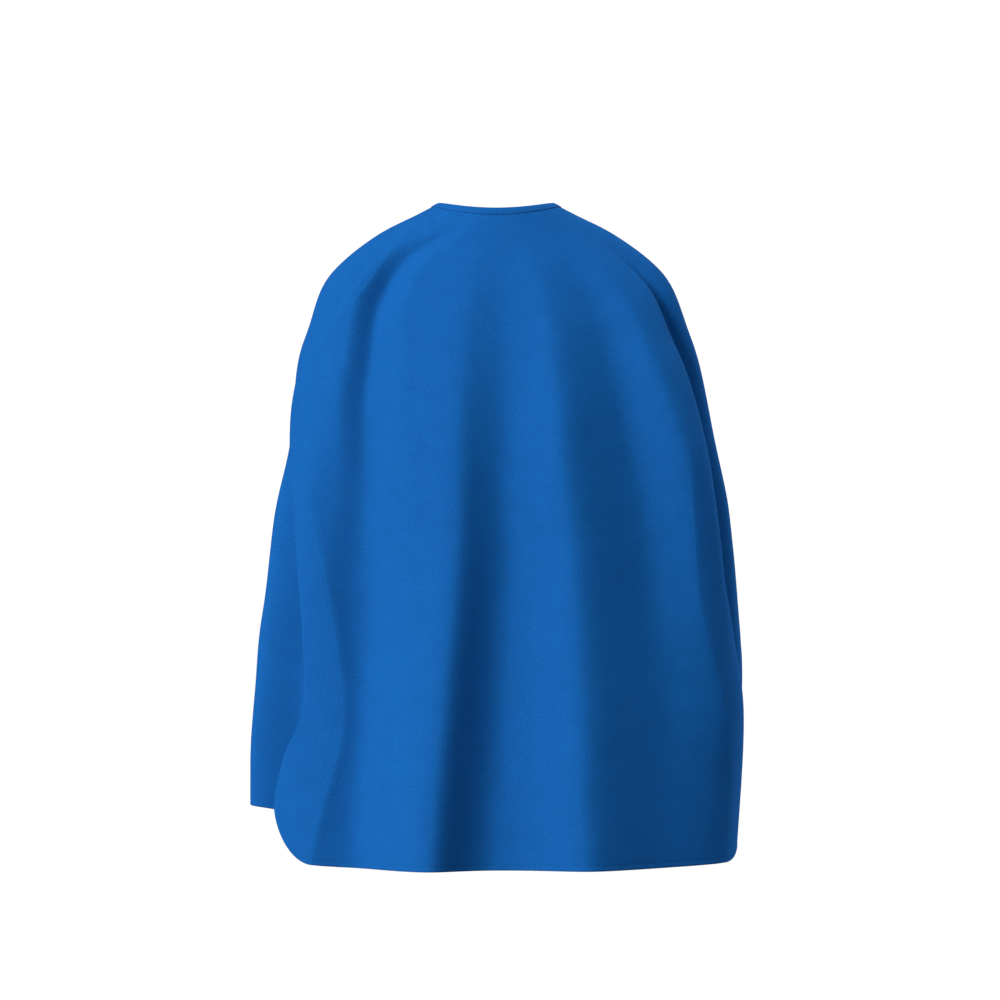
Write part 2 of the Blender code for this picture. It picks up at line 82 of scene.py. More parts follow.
# The grid of the cloth. The upper rows are drops and the hem rows are distances from the hem; even
# rows fill the cloth between the two.
COLUMNS = 300
ROWS = 110
UPPER_ROWS = (0.0, 0.004, 0.009, 0.015, 0.023)
FIRST_EVEN_ROW = 0.032
LAST_EVEN_ROW = 0.016
HEM_ROWS = (0.011, 0.0085, 0.0072, 0.0062, 0.0035, 0.0012, 0.0)
SECTION_SAMPLES = 2400
BEND_RADIUS = 0.020
BEND_START = 0.1
SURFACE_STEP = 1e-3


# ---------------------------------------------------------------- the draped surface

def eased(value, start, end):
    t = np.clip((value - start) / (end - start), 0.0, 1.0)
    return t * t * (3.0 - 2.0 * t)


def profile(*points):
    """A smooth function of the drop through a few (drop, value) points."""
    drops, values = zip(*points)
    fine = np.linspace(-0.1, CAPE_LENGTH + 0.1, 600)
    window = np.hanning(45)
    padded = np.pad(np.interp(fine, drops, values), 22, mode="edge")
    smooth = np.convolve(padded, window / window.sum(), mode="valid")
    return lambda drop: np.interp(drop, fine, smooth)


def curve_through(points, steps=240):
    """A smooth curve through the points: functions of the drop for its distance and its height."""
    knots = np.array((points[0],) + tuple(points) + (points[-1],))
    samples = []
    for place in np.linspace(0, len(points) - 1 - 1e-9, steps + 1):
        start = int(place)
        t = place - start
        before, near, far, after = knots[start:start + 4]
        samples.append(0.5 * (2 * near + (far - before) * t
                              + (2 * before - 5 * near + 4 * far - after) * t ** 2
                              + (3 * near - before - 3 * far + after) * t ** 3))
    samples = np.array(samples)
    lengths = np.concatenate(([0.0], np.cumsum(np.linalg.norm(np.diff(samples, axis=0), axis=1))))
    drops = lengths / lengths[-1] * CAPE_LENGTH
    return (lambda drop: np.interp(drop, drops, samples[:, 0]),
            lambda drop: np.interp(drop, drops, samples[:, 1]))


BACK = curve_through(BACK_LINE)
SIDE = curve_through(SIDE_LINE)
FRONT = curve_through(FRONT_LINE)


def base_surface(angle, drop):
    """The smooth hanging surface, before any fold, as an array of points."""
    sine, cosine = np.sin(angle), np.cos(angle)
    behind = cosine > 0
    depth = np.where(behind, BACK[0](drop), FRONT[0](drop))
    end_height = np.where(behind, BACK[1](drop), FRONT[1](drop))
    fullness = 1.0 + CORNER_FULLNESS * np.sin(2 * angle) ** 2 * eased(drop, *FULLNESS_DROPS)
    back_levelling = np.where(sine > 0, LEFT_HEM_LEVELLING, RIGHT_HEM_LEVELLING)
    levelling = np.where(behind, back_levelling, FRONT_HEM_LEVELLING)
    rise = np.abs(sine) ** (2.0 + levelling * eased(drop, LEVELLING_START, CAPE_LENGTH) ** 2)
    height = SIDE[1](drop) * rise + end_height * (1.0 - rise)
    reach = SIDE[0](drop) * np.where(sine > 0, LEFT_SHARE(drop), RIGHT_SHARE(drop))
    return np.stack([reach * sine * fullness, depth * cosine * fullness, height], axis=-1)


def tent(across, roundness):
    """A fold's section: 1 on its crest, 0 from 1 outwards, with hollow flanks and a rounded crest."""
    run = (np.sqrt(across ** 2 + roundness ** 2) - roundness) / (math.sqrt(1 + roundness ** 2) - roundness)
    return np.clip(1.0 - run, 0.0, 1.0) ** 2


# Broad folds. Each is a route of (drop, angle), then its width to the wearer's right and left, its
# height as (drop, height), and how round its crest is.
BROAD_FOLDS = (
    # the two ridges down the middle of the back
    dict(route=profile((0.0, 0.18), (0.5, 0.18), (0.65, 0.215), (0.914, 0.27)), right=0.28, left=0.38,
         height=profile((0.06, 0.0), (0.20, 0.008), (0.38, 0.024), (0.50, 0.032), (0.65, 0.039),
                        (0.80, 0.044), (0.914, 0.046)),
         roundness=0.25),
    dict(route=profile((0.0, -0.32), (0.4, -0.315), (0.5, -0.34), (0.6, -0.335), (0.8, -0.34),
                       (0.914, -0.365)),
         right=0.38, left=0.32,
         height=profile((0.06, 0.0), (0.18, 0.012), (0.32, 0.026), (0.65, 0.034), (0.914, 0.036)),
         roundness=0.20),
    # the ridge by the right arm
    dict(route=profile((0.0, -0.74), (0.2, -0.82), (0.37, -0.86), (0.45, -0.89), (0.55, -0.92),
                       (0.914, -0.97)),
         right=0.34, left=0.26,
         height=profile((0.08, 0.0), (0.18, 0.012), (0.28, 0.022), (0.42, 0.023), (0.52, 0.016),
                        (0.65, 0.006), (0.80, 0.002)),
         roundness=0.25),
    # the long hollow down the left of the back, sharp by the shoulder and broad below
    dict(route=profile((0.02, 0.45), (0.045, 0.57), (0.10, 0.80), (0.14, 0.80), (0.19, 0.76), (0.27, 0.69),
                       (0.36, 0.63), (0.50, 0.60)), right=0.24, left=0.16,
         height=profile((0.02, 0.0), (0.09, -0.006), (0.15, -0.018), (0.25, -0.020), (0.38, -0.014),
                        (0.54, 0.0)),
         roundness=0.5),
    dict(route=profile((0.0, 0.66), (0.36, 0.65), (0.50, 0.625), (0.65, 0.615), (0.80, 0.615),
                       (0.914, 0.59)),
         right=0.28, left=0.30,
         height=profile((0.22, 0.0), (0.32, -0.004), (0.45, -0.016), (0.60, -0.027), (0.75, -0.030),
                        (0.914, -0.018)),
         roundness=0.48),
    # the far layers of the two side folds
    dict(route=profile((0.0, 1.30), (0.50, 1.24), (0.60, 1.17), (0.75, 1.15), (0.914, 1.20)), right=0.20,
         left=0.42,
         height=profile((0.40, 0.0), (0.52, 0.020), (0.66, 0.034), (0.914, 0.036)), roundness=0.30),
    dict(route=profile((0.0, -1.30), (0.914, -1.34)), right=0.36, left=0.24,
         height=profile((0.10, 0.0), (0.25, 0.014), (0.50, 0.022), (0.70, 0.014), (0.914, 0.008)),
         roundness=0.45),
    # the front of the cape
    dict(route=profile((0.0, 1.98), (0.45, 2.00), (0.914, 2.06)), right=0.26, left=0.24,
         height=profile((0.12, 0.0), (0.40, 0.016), (0.914, 0.030)), roundness=0.28),
    dict(route=profile((0.0, 2.42), (0.45, 2.40), (0.914, 2.46)), right=0.22, left=0.20,
         height=profile((0.18, 0.0), (0.45, 0.012), (0.914, 0.026)), roundness=0.28),
    dict(route=profile((0.0, -1.90), (0.45, -1.94), (0.914, -1.98)), right=0.24, left=0.26,
         height=profile((0.10, 0.0), (0.40, 0.018), (0.914, 0.032)), roundness=0.28),
    dict(route=profile((0.0, -2.36), (0.45, -2.34), (0.914, -2.38)), right=0.20, left=0.24,
         height=profile((0.22, 0.0), (0.50, 0.012), (0.914, 0.022)), roundness=0.30),
    dict(route=profile((0.0, 1.70), (0.914, 1.72)), right=0.22, left=0.20,
         height=profile((0.20, 0.0), (0.45, -0.012), (0.914, -0.018)), roundness=0.45),
    dict(route=profile((0.0, -1.64), (0.914, -1.66)), right=0.20, left=0.22,
         height=profile((0.20, 0.0), (0.45, -0.012), (0.914, -0.018)), roundness=0.45),
)

# Side folds, where the back of the cloth laps over its front: the route of the fold's middle, its
# half width, how far it laps (in half widths), how far its layers stand apart, and how far the hem
# rises where it turns round the lapping edge.
SIDE_FOLDS = (
    dict(route=profile((0.0, 1.05), (0.09, 1.02), (0.18, 0.97), (0.23, 1.03), (0.29, 1.20), (0.36, 1.22),
                       (0.42, 1.12), (0.47, 1.01), (0.52, 0.93), (0.60, 0.87), (0.70, 0.81),
                       (0.76, 0.82), (0.82, 0.87), (0.914, 0.93)),
         half_width=profile((0.05, 0.07), (0.20, 0.09), (0.40, 0.12), (0.65, 0.15), (0.914, 0.16)),
         lap=profile((0.05, 0.0), (0.12, 0.42), (0.30, 0.45), (0.45, 0.60), (0.65, 0.75), (0.914, 0.80)),
         depth=profile((0.05, 0.0), (0.12, 0.006), (0.30, 0.009), (0.42, 0.018), (0.55, 0.034),
                       (0.914, 0.040)),
         hem_rise=0.068, far_share=0.62),
    dict(route=profile((0.0, -1.08), (0.20, -1.05), (0.36, -1.02), (0.47, -0.99), (0.57, -0.99),
                       (0.68, -1.08), (0.80, -1.17), (0.914, -1.20)),
         half_width=profile((0.10, 0.08), (0.30, 0.11), (0.60, 0.14), (0.914, 0.15)),
         lap=profile((0.10, 0.0), (0.18, 0.42), (0.35, 0.55), (0.60, 0.75), (0.914, 0.80)),
         depth=profile((0.10, 0.0), (0.20, 0.010), (0.35, 0.022), (0.60, 0.030), (0.914, 0.030)),
         hem_rise=0.012, far_share=1.0),
)

# How much of the side line's width the cloth keeps on the wearer's left and right
LEFT_SHARE = profile((0.30, 1.0), (0.38, 0.985), (0.46, 0.955), (0.54, 0.927), (0.62, 0.908), (0.72, 0.900),
                     (0.82, 0.915))
RIGHT_SHARE = profile((0.12, 1.0), (0.30, 0.97), (0.55, 0.975), (0.70, 0.985), (0.80, 0.96), (0.914, 0.93))


def hem_turn(across, far_share):
    """How much of the hem's rise there is at a place across a side fold, in half widths from its
    middle. The far layer of the fold keeps its own share of the rise."""
    near_side = eased(across, -1.0, -0.3)
    far_side = 1.0 - (1.0 - far_share) * eased(across, 0.0, 0.6)
    fade = 1.0 - eased(across, 0.8, 3.5)
    crest = 0.25 * np.exp(-((across - 0.1) / 0.3) ** 2)
    return near_side * far_side * fade + crest


def folded_surface(angle, drop):
    """The hanging surface with all its folds."""
    lift = np.zeros_like(angle)
    for fold in BROAD_FOLDS:
        across = angle - fold["route"](drop)
        width = np.where(across > 0, fold["left"], fold["right"])
        lift += fold["height"](drop) * tent(across / width, fold["roundness"])
    shifted = np.array(angle, dtype=float)
    rise = np.zeros_like(angle)
    for fold in SIDE_FOLDS:
        route = fold["route"](drop)
        side = np.sign(route)
        half_width = fold["half_width"](drop)
        across = side * (angle - route) / half_width
        inside = np.clip(across, -1.0, 1.0)
        shifted -= side * fold["lap"](drop) * half_width * np.sin(np.pi * inside)
        fade = np.clip(1.0 - np.abs(across) / SIDE_FOLD_REACH, 0.0, 1.0) ** 2
        lift -= fold["depth"](drop) * np.sin(0.5 * np.pi * inside) * fade
        rise += (fold["hem_rise"] * hem_turn(across, fold["far_share"])
                 * eased(drop, HEM_RISE_START, CAPE_LENGTH))
    point = base_surface(shifted, drop)
    round_way = base_surface(shifted + SURFACE_STEP, drop) - base_surface(shifted - SURFACE_STEP, drop)
    on_cloth = np.minimum(drop, CAPE_LENGTH - SURFACE_STEP)
    down = base_surface(shifted, on_cloth + SURFACE_STEP) - base_surface(shifted, on_cloth)
    outward = np.cross(round_way, down)
    outward /= np.linalg.norm(outward, axis=-1, keepdims=True)
    point = point + outward * lift[..., None]
    point[..., 2] += rise
    return point


def front_edge(drop):
    """The angle of the front edges, which fall apart from the throat to the hem."""
    half_gap = THROAT_HALF_GAP + (HEM_HALF_GAP - THROAT_HALF_GAP) * (drop / CAPE_LENGTH) ** GAP_POWER
    return np.pi - np.arcsin(half_gap / SIDE[0](drop))


def even_row(drop):
    """One row of the cloth's grid, with its points closer together where the cloth bends, and how far
    along the row each point lies, in metres."""
    edge = front_edge(drop)
    angles = np.linspace(-edge, edge, SECTION_SAMPLES)
    points = folded_surface(angles, np.full_like(angles, drop))
    steps = np.diff(points, axis=0)
    lengths = np.linalg.norm(steps, axis=1)
    ways = steps / lengths[:, None]
    turning = np.concatenate(([0.0], np.arccos(np.clip((ways[1:] * ways[:-1]).sum(axis=1), -1.0, 1.0))))
    along = np.concatenate(([0.0], np.cumsum(lengths)))
    extra = BEND_RADIUS * turning * min(1.0, drop / BEND_START)
    share = np.concatenate(([0.0], np.cumsum(lengths + extra)))
    places = np.interp(np.linspace(0.0, share[-1], COLUMNS + 1), share, along)
    return np.stack([np.interp(places, along, points[:, axis]) for axis in range(3)], axis=-1), places


def cloth_normals(points):
    """Unit normals of a grid of points, outwards from the wearer."""
    round_way = np.gradient(points, axis=1)
    down = np.gradient(points, axis=0)
    normals = np.cross(round_way, down)
    return normals / np.linalg.norm(normals, axis=-1, keepdims=True)


def cloth_frame(angle, drop):
    """Places on the cloth with the directions down it and out of it, as arrays."""
    angle, drop = np.broadcast_arrays(np.asarray(angle, float), np.asarray(drop, float))
    on_cloth = np.clip(drop, 0.0, CAPE_LENGTH - SURFACE_STEP)
    point = folded_surface(angle, np.clip(drop, 0.0, CAPE_LENGTH))
    round_way = (folded_surface(angle + SURFACE_STEP, on_cloth)
                 - folded_surface(angle - SURFACE_STEP, on_cloth))
    down = folded_surface(angle, on_cloth + SURFACE_STEP) - folded_surface(angle, on_cloth)
    out = np.cross(round_way, down)
    down /= np.linalg.norm(down, axis=-1, keepdims=True)
    out /= np.linalg.norm(out, axis=-1, keepdims=True)
    return point, down, out


def cloth_place(angle, drop, lift):
    """Points at a lift off the cloth. A negative drop stands above the neck edge."""
    point, down, out = cloth_frame(angle, drop)
    return point + down * np.minimum(drop, 0.0)[..., None] + out * np.asarray(lift)[..., None]


# ---------------------------------------------------------------- sizes and colours

class CapeSizes(bpy.types.PropertyGroup):
    """Sizes of the cloth and of what is sewn to it"""
    cloth_thickness: FloatProperty(
        name="Cloth thickness", description="Thickness of the double knit",
        default=0.0010, min=0.0004, max=0.002, unit='LENGTH', precision=4)
    hem_width: FloatProperty(
        name="Hem width", description="How much cloth is turned in at the hem and the front edges",
        default=0.0070, min=0.003, max=0.02, unit='LENGTH', precision=4)
    band_height: FloatProperty(
        name="Neck band height", description="How far the folded strip reaches down from the neck edge",
        default=0.0100, min=0.006, max=0.011, unit='LENGTH', precision=4)
    stitch_length: FloatProperty(
        name="Stitch length", description="Length of one stitch with its gap",
        default=0.0030, min=0.002, max=0.006, unit='LENGTH', precision=4)
    thread_radius: FloatProperty(
        name="Thread radius", description="Half the thickness of the sewing thread",
        default=0.00028, min=0.0001, max=0.0005, unit='LENGTH', precision=5)


def colour_property(name, description, default):
    return FloatVectorProperty(name=name, description=description, default=default,
                               subtype='COLOR', min=0.0, max=1.0)


class CapeColours(bpy.types.PropertyGroup):
    """Colours of the cape's materials"""
    cloth: colour_property("Cloth", "Colour of the knit", (0.0085, 0.121, 0.422))
    cloth_dark: colour_property("Cloth shade", "Colour of the darker yarn in the knit",
                                (0.0055, 0.082, 0.298))
    thread: colour_property("Thread", "Colour of the sewing thread", (0.010, 0.090, 0.310))
    hook_tape: colour_property("Hook tape", "Colour of the hook tape", (0.012, 0.014, 0.020))
    loop_tape: colour_property("Loop tape", "Colour of the loop tape", (0.010, 0.060, 0.210))
    label: colour_property("Label", "Colour of the care label", (0.78, 0.78, 0.76))
    stay_tape: colour_property("Stay tape", "Colour of the tape inside the neck band", (0.62, 0.62, 0.60))
    floor: colour_property("Floor", "Colour of the studio floor", (0.90, 0.90, 0.90))


# ---------------------------------------------------------------- materials

class Value:
    """A shader socket. Arithmetic on it adds Math nodes."""

    def __init__(self, finish, socket):
        self.finish, self.socket = finish, socket

    def math(self, operation, *others):
        return self.finish.add('ShaderNodeMath', {"operation": operation},
                               dict(enumerate((self,) + others)))

    def __add__(self, other):
        return self.math('ADD', other)

    def __mul__(self, other):
        return self.math('MULTIPLY', other)

    def __sub__(self, other):
        return self.math('SUBTRACT', other)

    def __rsub__(self, other):
        return self.finish.add('ShaderNodeMath', {"operation": 'SUBTRACT'}, {0: other, 1: self})

    __radd__ = __add__


class Finish:
    """A procedural material. Constants go straight to the shader's own sockets."""

    def __init__(self, name, **constants):
        self.material = bpy.data.materials.new(name)
        self.material.use_nodes = True
        self.tree = self.material.node_tree
        self.shader = self.tree.nodes["Principled BSDF"]
        for socket, value in constants.items():
            self.shader.inputs[socket.replace("_", " ").title().replace("Ior", "IOR")].default_value = value

    def add(self, kind, settings=None, inputs=None, output=0):
        """Adds a node with its settings first, then the values or links of its sockets."""
        node = self.tree.nodes.new(kind)
        for setting, value in (settings or {}).items():
            setattr(node, setting, value)
        for socket, value in (inputs or {}).items():
            if isinstance(value, Value):
                self.tree.links.new(value.socket, node.inputs[socket])
            else:
                node.inputs[socket].default_value = value
        return Value(self, node.outputs[output])

    def coordinates(self, kind):
        return self.add('ShaderNodeTexCoord', output=kind)

    def flat_cloth(self):
        """The flat cloth's coordinates in metres, and how far across and how far down they are."""
        flat = self.coordinates("UV")
        split = self.tree.nodes.new('ShaderNodeSeparateXYZ')
        self.tree.links.new(flat.socket, split.inputs[0])
        return flat, Value(self, split.outputs[0]), Value(self, split.outputs[1])

    def noise(self, where, scale, detail=2.0, roughness=0.5):
        return self.add('ShaderNodeTexNoise', None,
                        {"Vector": where, "Scale": scale, "Detail": detail, "Roughness": roughness})

    def waves(self, along, pitch):
        """0 to 1 and back over each pitch."""
        return (along * (2 * math.pi / pitch)).math('SINE') * 0.5 + 0.5

    def mix(self, factor, first, second):
        return self.add('ShaderNodeMix', {"data_type": 'RGBA', "clamp_factor": True},
                        {0: factor, 6: (*first, 1.0), 7: (*second, 1.0)}, output=2)

    def drive(self, socket, value):
        self.tree.links.new(value.socket, self.shader.inputs[socket])

    def bump(self, height, distance, strength):
        self.drive("Normal", self.add('ShaderNodeBump', None, {
            "Height": height, "Distance": distance, "Strength": strength}))


def knit_finish(colours):
    """Matte polyester double knit: fine ribs of stitches, with a slight heather in the yarn."""
    finish = Finish("double_knit", roughness=0.88, specular_ior_level=0.02, sheen_weight=0.10,
                    sheen_roughness=0.45, sheen_tint=(0.02, 0.30, 0.9, 1.0))
    flat, across, down = finish.flat_cloth()
    yarn = finish.noise(flat, 420.0, 3.0, 0.65)
    patches = finish.noise(flat, 34.0, 4.0, 0.55)
    ribs = finish.waves(across, 0.0013)
    courses = finish.waves(down, 0.0011)
    stitches = ribs * 0.6 + courses * 0.4
    tone = (yarn - 0.5) * 2.4 + (patches - 0.5) * 0.55 + (stitches - 0.5) * 0.25 + 0.5
    finish.drive("Base Color", finish.mix(tone, colours.cloth_dark, colours.cloth))
    finish.drive("Roughness", 0.93 - yarn * 0.12)
    finish.bump(stitches * 0.7 + yarn * 0.5 + patches * 0.6, 0.00030, 0.55)
    return finish.material


def woven_finish(name, dark, light, pitch, **constants):
    """Plain woven tape: threads over and under at the pitch."""
    finish = Finish(name, **constants)
    flat, across, down = finish.flat_cloth()
    weave = finish.waves(across, pitch) * 0.5 + finish.waves(down, pitch) * 0.5
    fibre = finish.noise(flat, 900.0, 3.0)
    finish.drive("Base Color", finish.mix(weave * 0.6 + fibre * 0.5, dark, light))
    finish.drive("Roughness", 0.62 + fibre * 0.2)
    finish.bump(weave + fibre * 0.4, 0.00012, 0.7)
    return finish.material


def shaded(colour, share):
    return tuple(part * share for part in colour)


def spun_finish(name, colour, shade=0.55, **constants):
    """Spun or moulded fibre with fine streaks, on the object's own coordinates."""
    finish = Finish(name, **constants)
    place = finish.coordinates("Object")
    streak = finish.noise(place, 1500.0, 2.0)
    finish.drive("Base Color", finish.mix(streak, shaded(colour, shade), colour))
    finish.drive("Roughness", 0.45 + streak * 0.3)
    finish.bump(streak, 0.00006, 0.6)
    return finish.material


def make_finishes(colours):
    """Every material of the cape, by name."""
    return {
        "double_knit": knit_finish(colours),
        "label_satin": woven_finish("label_satin", shaded(colours.label, 0.82), tuple(colours.label), 0.0004,
                                    sheen_weight=0.2, specular_ior_level=0.4),
        "woven_tape": woven_finish("woven_tape", shaded(colours.stay_tape, 0.7),
                                   tuple(colours.stay_tape), 0.0008),
        "hook_nylon": spun_finish("hook_nylon", tuple(colours.hook_tape), specular_ior_level=0.5),
        "loop_nylon": spun_finish("loop_nylon", tuple(colours.loop_tape), sheen_weight=0.4,
                                  specular_ior_level=0.2),
        "spun_thread": spun_finish("spun_thread", tuple(colours.thread), 0.7, specular_ior_level=0.4),
    }


FINISHES = {}


# ---------------------------------------------------------------- building blocks

def finish_piece(piece, material, body, nodes=()):
    """Gives a piece its material and its body, and hides the CAD nodes that it stands for."""
    piece.data.materials.clear()
    if not FINISHES:
        FINISHES.update(make_finishes(bpy.context.scene.cape_colours))
    piece.data.materials.append(FINISHES[material])
    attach(piece, body)
    if nodes:
        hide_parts(*nodes)


def deselect():
    bpy.ops.object.select_all(action='DESELECT')


def mesh_piece(name, points, faces, uv=None):
    mesh = bpy.data.meshes.new(name)
    mesh.from_pydata([tuple(point) for point in points], [], faces)
    if uv is not None:
        layer = mesh.uv_layers.new(name="flat_cloth")
        corners = np.empty(len(mesh.loops), np.int32)
        mesh.loops.foreach_get("vertex_index", corners)
        layer.data.foreach_set("uv", np.asarray(uv, np.float32)[corners].ravel())
    mesh.validate()
    mesh.update()
    mesh.shade_smooth()
    piece = bpy.data.objects.new(name, mesh)
    bpy.context.scene.collection.objects.link(piece)
    return piece


def shell(name, outer, inner, uv):
    """A closed sheet from its outer and inner faces, each rows x columns of points, with its flat
    coordinates in metres as its UV map."""
    rows, columns = outer.shape[:2]
    count = rows * columns
    index = np.arange(count).reshape(rows, columns)
    top_left, top_right = index[:-1, :-1].ravel(), index[:-1, 1:].ravel()
    low_left, low_right = index[1:, :-1].ravel(), index[1:, 1:].ravel()
    outside = np.stack([top_left, top_right, low_right, low_left], axis=1)
    faces = [outside, outside[:, ::-1] + count]
    border = np.concatenate([index[0, :-1], index[:-1, -1], index[-1, :0:-1], index[:0:-1, 0]])
    following = np.roll(border, -1)
    faces.append(np.stack([following, border, border + count, following + count], axis=1))
    points = np.concatenate([outer.reshape(-1, 3), inner.reshape(-1, 3)])
    flat = np.asarray(uv).reshape(-1, 2)
    piece = mesh_piece(name, points, np.concatenate(faces).tolist(), np.concatenate([flat, flat]))
    return outwards(piece)


def outwards(piece):
    """Turns every face outwards."""
    deselect()
    bpy.context.view_layer.objects.active = piece
    piece.select_set(True)
    bpy.ops.object.mode_set(mode='EDIT')
    bpy.ops.mesh.select_all(action='SELECT')
    bpy.ops.mesh.normals_make_consistent(inside=False)
    bpy.ops.object.mode_set(mode='OBJECT')
    piece.select_set(False)
    return piece


def swept_band(name, angles, section, uv_length):
    """A closed band round the neck. The section is a closed ring of (drop, lift)."""
    drops, lifts = np.array(section).T
    angle_grid, drop_grid = np.meshgrid(angles, drops, indexing="ij")
    points = cloth_place(angle_grid, drop_grid, np.broadcast_to(lifts, drop_grid.shape))
    stations, ring = angle_grid.shape
    index = np.arange(stations * ring).reshape(stations, ring)
    beside = np.roll(index, -1, axis=1)
    sides = np.stack([index[:-1].ravel(), beside[:-1].ravel(), beside[1:].ravel(), index[1:].ravel()], axis=1)
    faces = sides.tolist() + [index[0].tolist()[::-1], index[-1].tolist()]
    round_share = np.linspace(-0.5, 0.5, stations)
    steps = np.linalg.norm(np.diff(np.array(section + section[:1]), axis=0), axis=1)
    ring_share = np.concatenate(([0.0], np.cumsum(steps)))[:-1]
    uv = np.stack(np.meshgrid(round_share * uv_length, ring_share, indexing="ij"), axis=-1).reshape(-1, 2)
    return outwards(mesh_piece(name, points.reshape(-1, 3), faces, uv))


def template_points(piece):
    """A modelled template's points and faces. The template itself is removed."""
    points = np.array([tuple(vertex.co) for vertex in piece.data.vertices])
    faces = [list(face.vertices) for face in piece.data.polygons]
    bpy.data.objects.remove(piece, do_unlink=True)
    return points, faces


# How deep a stitch's ends dip and how far its middle stands off the cloth, as shares of the thread's
# radius; how much of each stitch length is thread; and the step that finds a stitch's direction.
STITCH_DIP = 1.2
THREAD_LIFT = 0.3
THREAD_SHARE = 0.82
STITCH_STEP = 0.0004


def stitch_template(length, radius):
    """One stitch along X: a short round thread whose ends dip into the cloth."""
    deselect()
    bpy.ops.mesh.primitive_uv_sphere_add(segments=8, ring_count=6, radius=1.0)
    stitch = bpy.context.object
    bpy.ops.object.mode_set(mode='EDIT')
    bpy.ops.mesh.select_all(action='SELECT')
    bpy.ops.transform.rotate(value=math.pi / 2, orient_axis='Y', center_override=(0.0, 0.0, 0.0))
    bpy.ops.transform.resize(value=(length / 2, radius, radius), center_override=(0.0, 0.0, 0.0))
    bpy.ops.object.mode_set(mode='OBJECT')
    points, faces = template_points(stitch)
    points[:, 2] -= radius * STITCH_DIP * (points[:, 0] / (length / 2)) ** 4
    return points, faces


def hook_template(height, radius):
    """One hook or loop that stands on +Z: a bent wire."""
    deselect()
    bpy.ops.curve.primitive_bezier_curve_add()
    wire = bpy.context.object
    start, end = wire.data.splines[0].bezier_points
    start.co = (0, 0, 0)
    start.handle_left = (0, 0, -height * 0.3)
    start.handle_right = (0, 0, height * 1.25)
    end.co = (height * 0.75, 0, height * 0.35)
    end.handle_left = (height * 0.75, 0, height * 1.2)
    end.handle_right = (height * 0.75, 0, -height * 0.2)
    wire.data.splines[0].resolution_u = 5
    wire.data.bevel_depth = radius
    wire.data.bevel_resolution = 0
    bpy.ops.object.convert(target='MESH')
    return template_points(bpy.context.object)


def scattered(name, template, centres, along, out):
    """Copies of a template, its X along `along` and its Z along `out`, joined into one piece."""
    points, faces = template
    along = along / np.linalg.norm(along, axis=1, keepdims=True)
    side = np.cross(out, along)
    side /= np.linalg.norm(side, axis=1, keepdims=True)
    up = np.cross(along, side)
    placed = (centres[:, None] + points[None, :, 0:1] * along[:, None] + points[None, :, 1:2] * side[:, None]
              + points[None, :, 2:3] * up[:, None])
    size = len(points)
    all_faces = [[corner + copy * size for corner in face] for copy in range(len(centres)) for face in faces]
    return mesh_piece(name, placed.reshape(-1, 3), all_faces)


def stitch_row(name, points, out, sizes, body, node):
    """Adds stitches end to end along a line of points, on a body, for the thread that is a CAD node."""
    steps = np.linalg.norm(np.diff(points, axis=0), axis=1)
    along = np.concatenate(([0.0], np.cumsum(steps)))
    count = max(1, int(along[-1] / sizes.stitch_length))
    middles = (np.arange(count) + 0.5) / count * along[-1]

    def at(values, places):
        return np.stack([np.interp(places, along, values[:, axis]) for axis in range(3)], axis=1)

    ways = at(points, middles + STITCH_STEP) - at(points, middles - STITCH_STEP)
    template = stitch_template(sizes.stitch_length * THREAD_SHARE, sizes.thread_radius)
    row = scattered(name, template, at(points, middles), ways, at(out, middles))
    finish_piece(row, "spun_thread", body, [node])


# ---------------------------------------------------------------- the cloth

# The turned hem and front edges: half the width over which the turned cloth begins, the air under it,
# the stitches' distance from its free edge, the groove that they press, and the rim at the fold.
HEM_SOFTNESS = 0.0006
HEM_AIR = 0.0001
HEM_STITCH_INSET = 0.0012
GROOVE_PLACE = 0.0065
GROOVE_WIDTH = 0.0016
GROOVE_DEPTH = 0.00035
RIM_WIDTH = 0.0012
RIM_DEPTH = 0.0004
RIM_INSIDE_SHARE = 0.45
HEM_CORNER_ANGLE = 0.035
EDGE_STITCH_START = 0.06
EDGE_STITCH_END = 0.012


def cloth_grid():
    """The middle surface of the cloth as rows x columns of points, with its flat coordinates."""
    drops = np.concatenate([UPPER_ROWS, np.linspace(FIRST_EVEN_ROW, CAPE_LENGTH - LAST_EVEN_ROW, ROWS),
                            CAPE_LENGTH - np.array(HEM_ROWS)])
    rows, flat = [], []
    for drop in drops:
        points, places = even_row(drop)
        rows.append(points)
        flat.append(np.stack([places - places[-1] / 2, np.full_like(places, -drop)], axis=1))
    return drops, np.array(rows), np.array(flat)


def turned_share(from_edge, hem_width):
    """1 where the cloth is turned in, 0 elsewhere, by the distance from the cloth's edge."""
    return 1.0 - eased(from_edge, hem_width - HEM_SOFTNESS, hem_width + HEM_SOFTNESS)


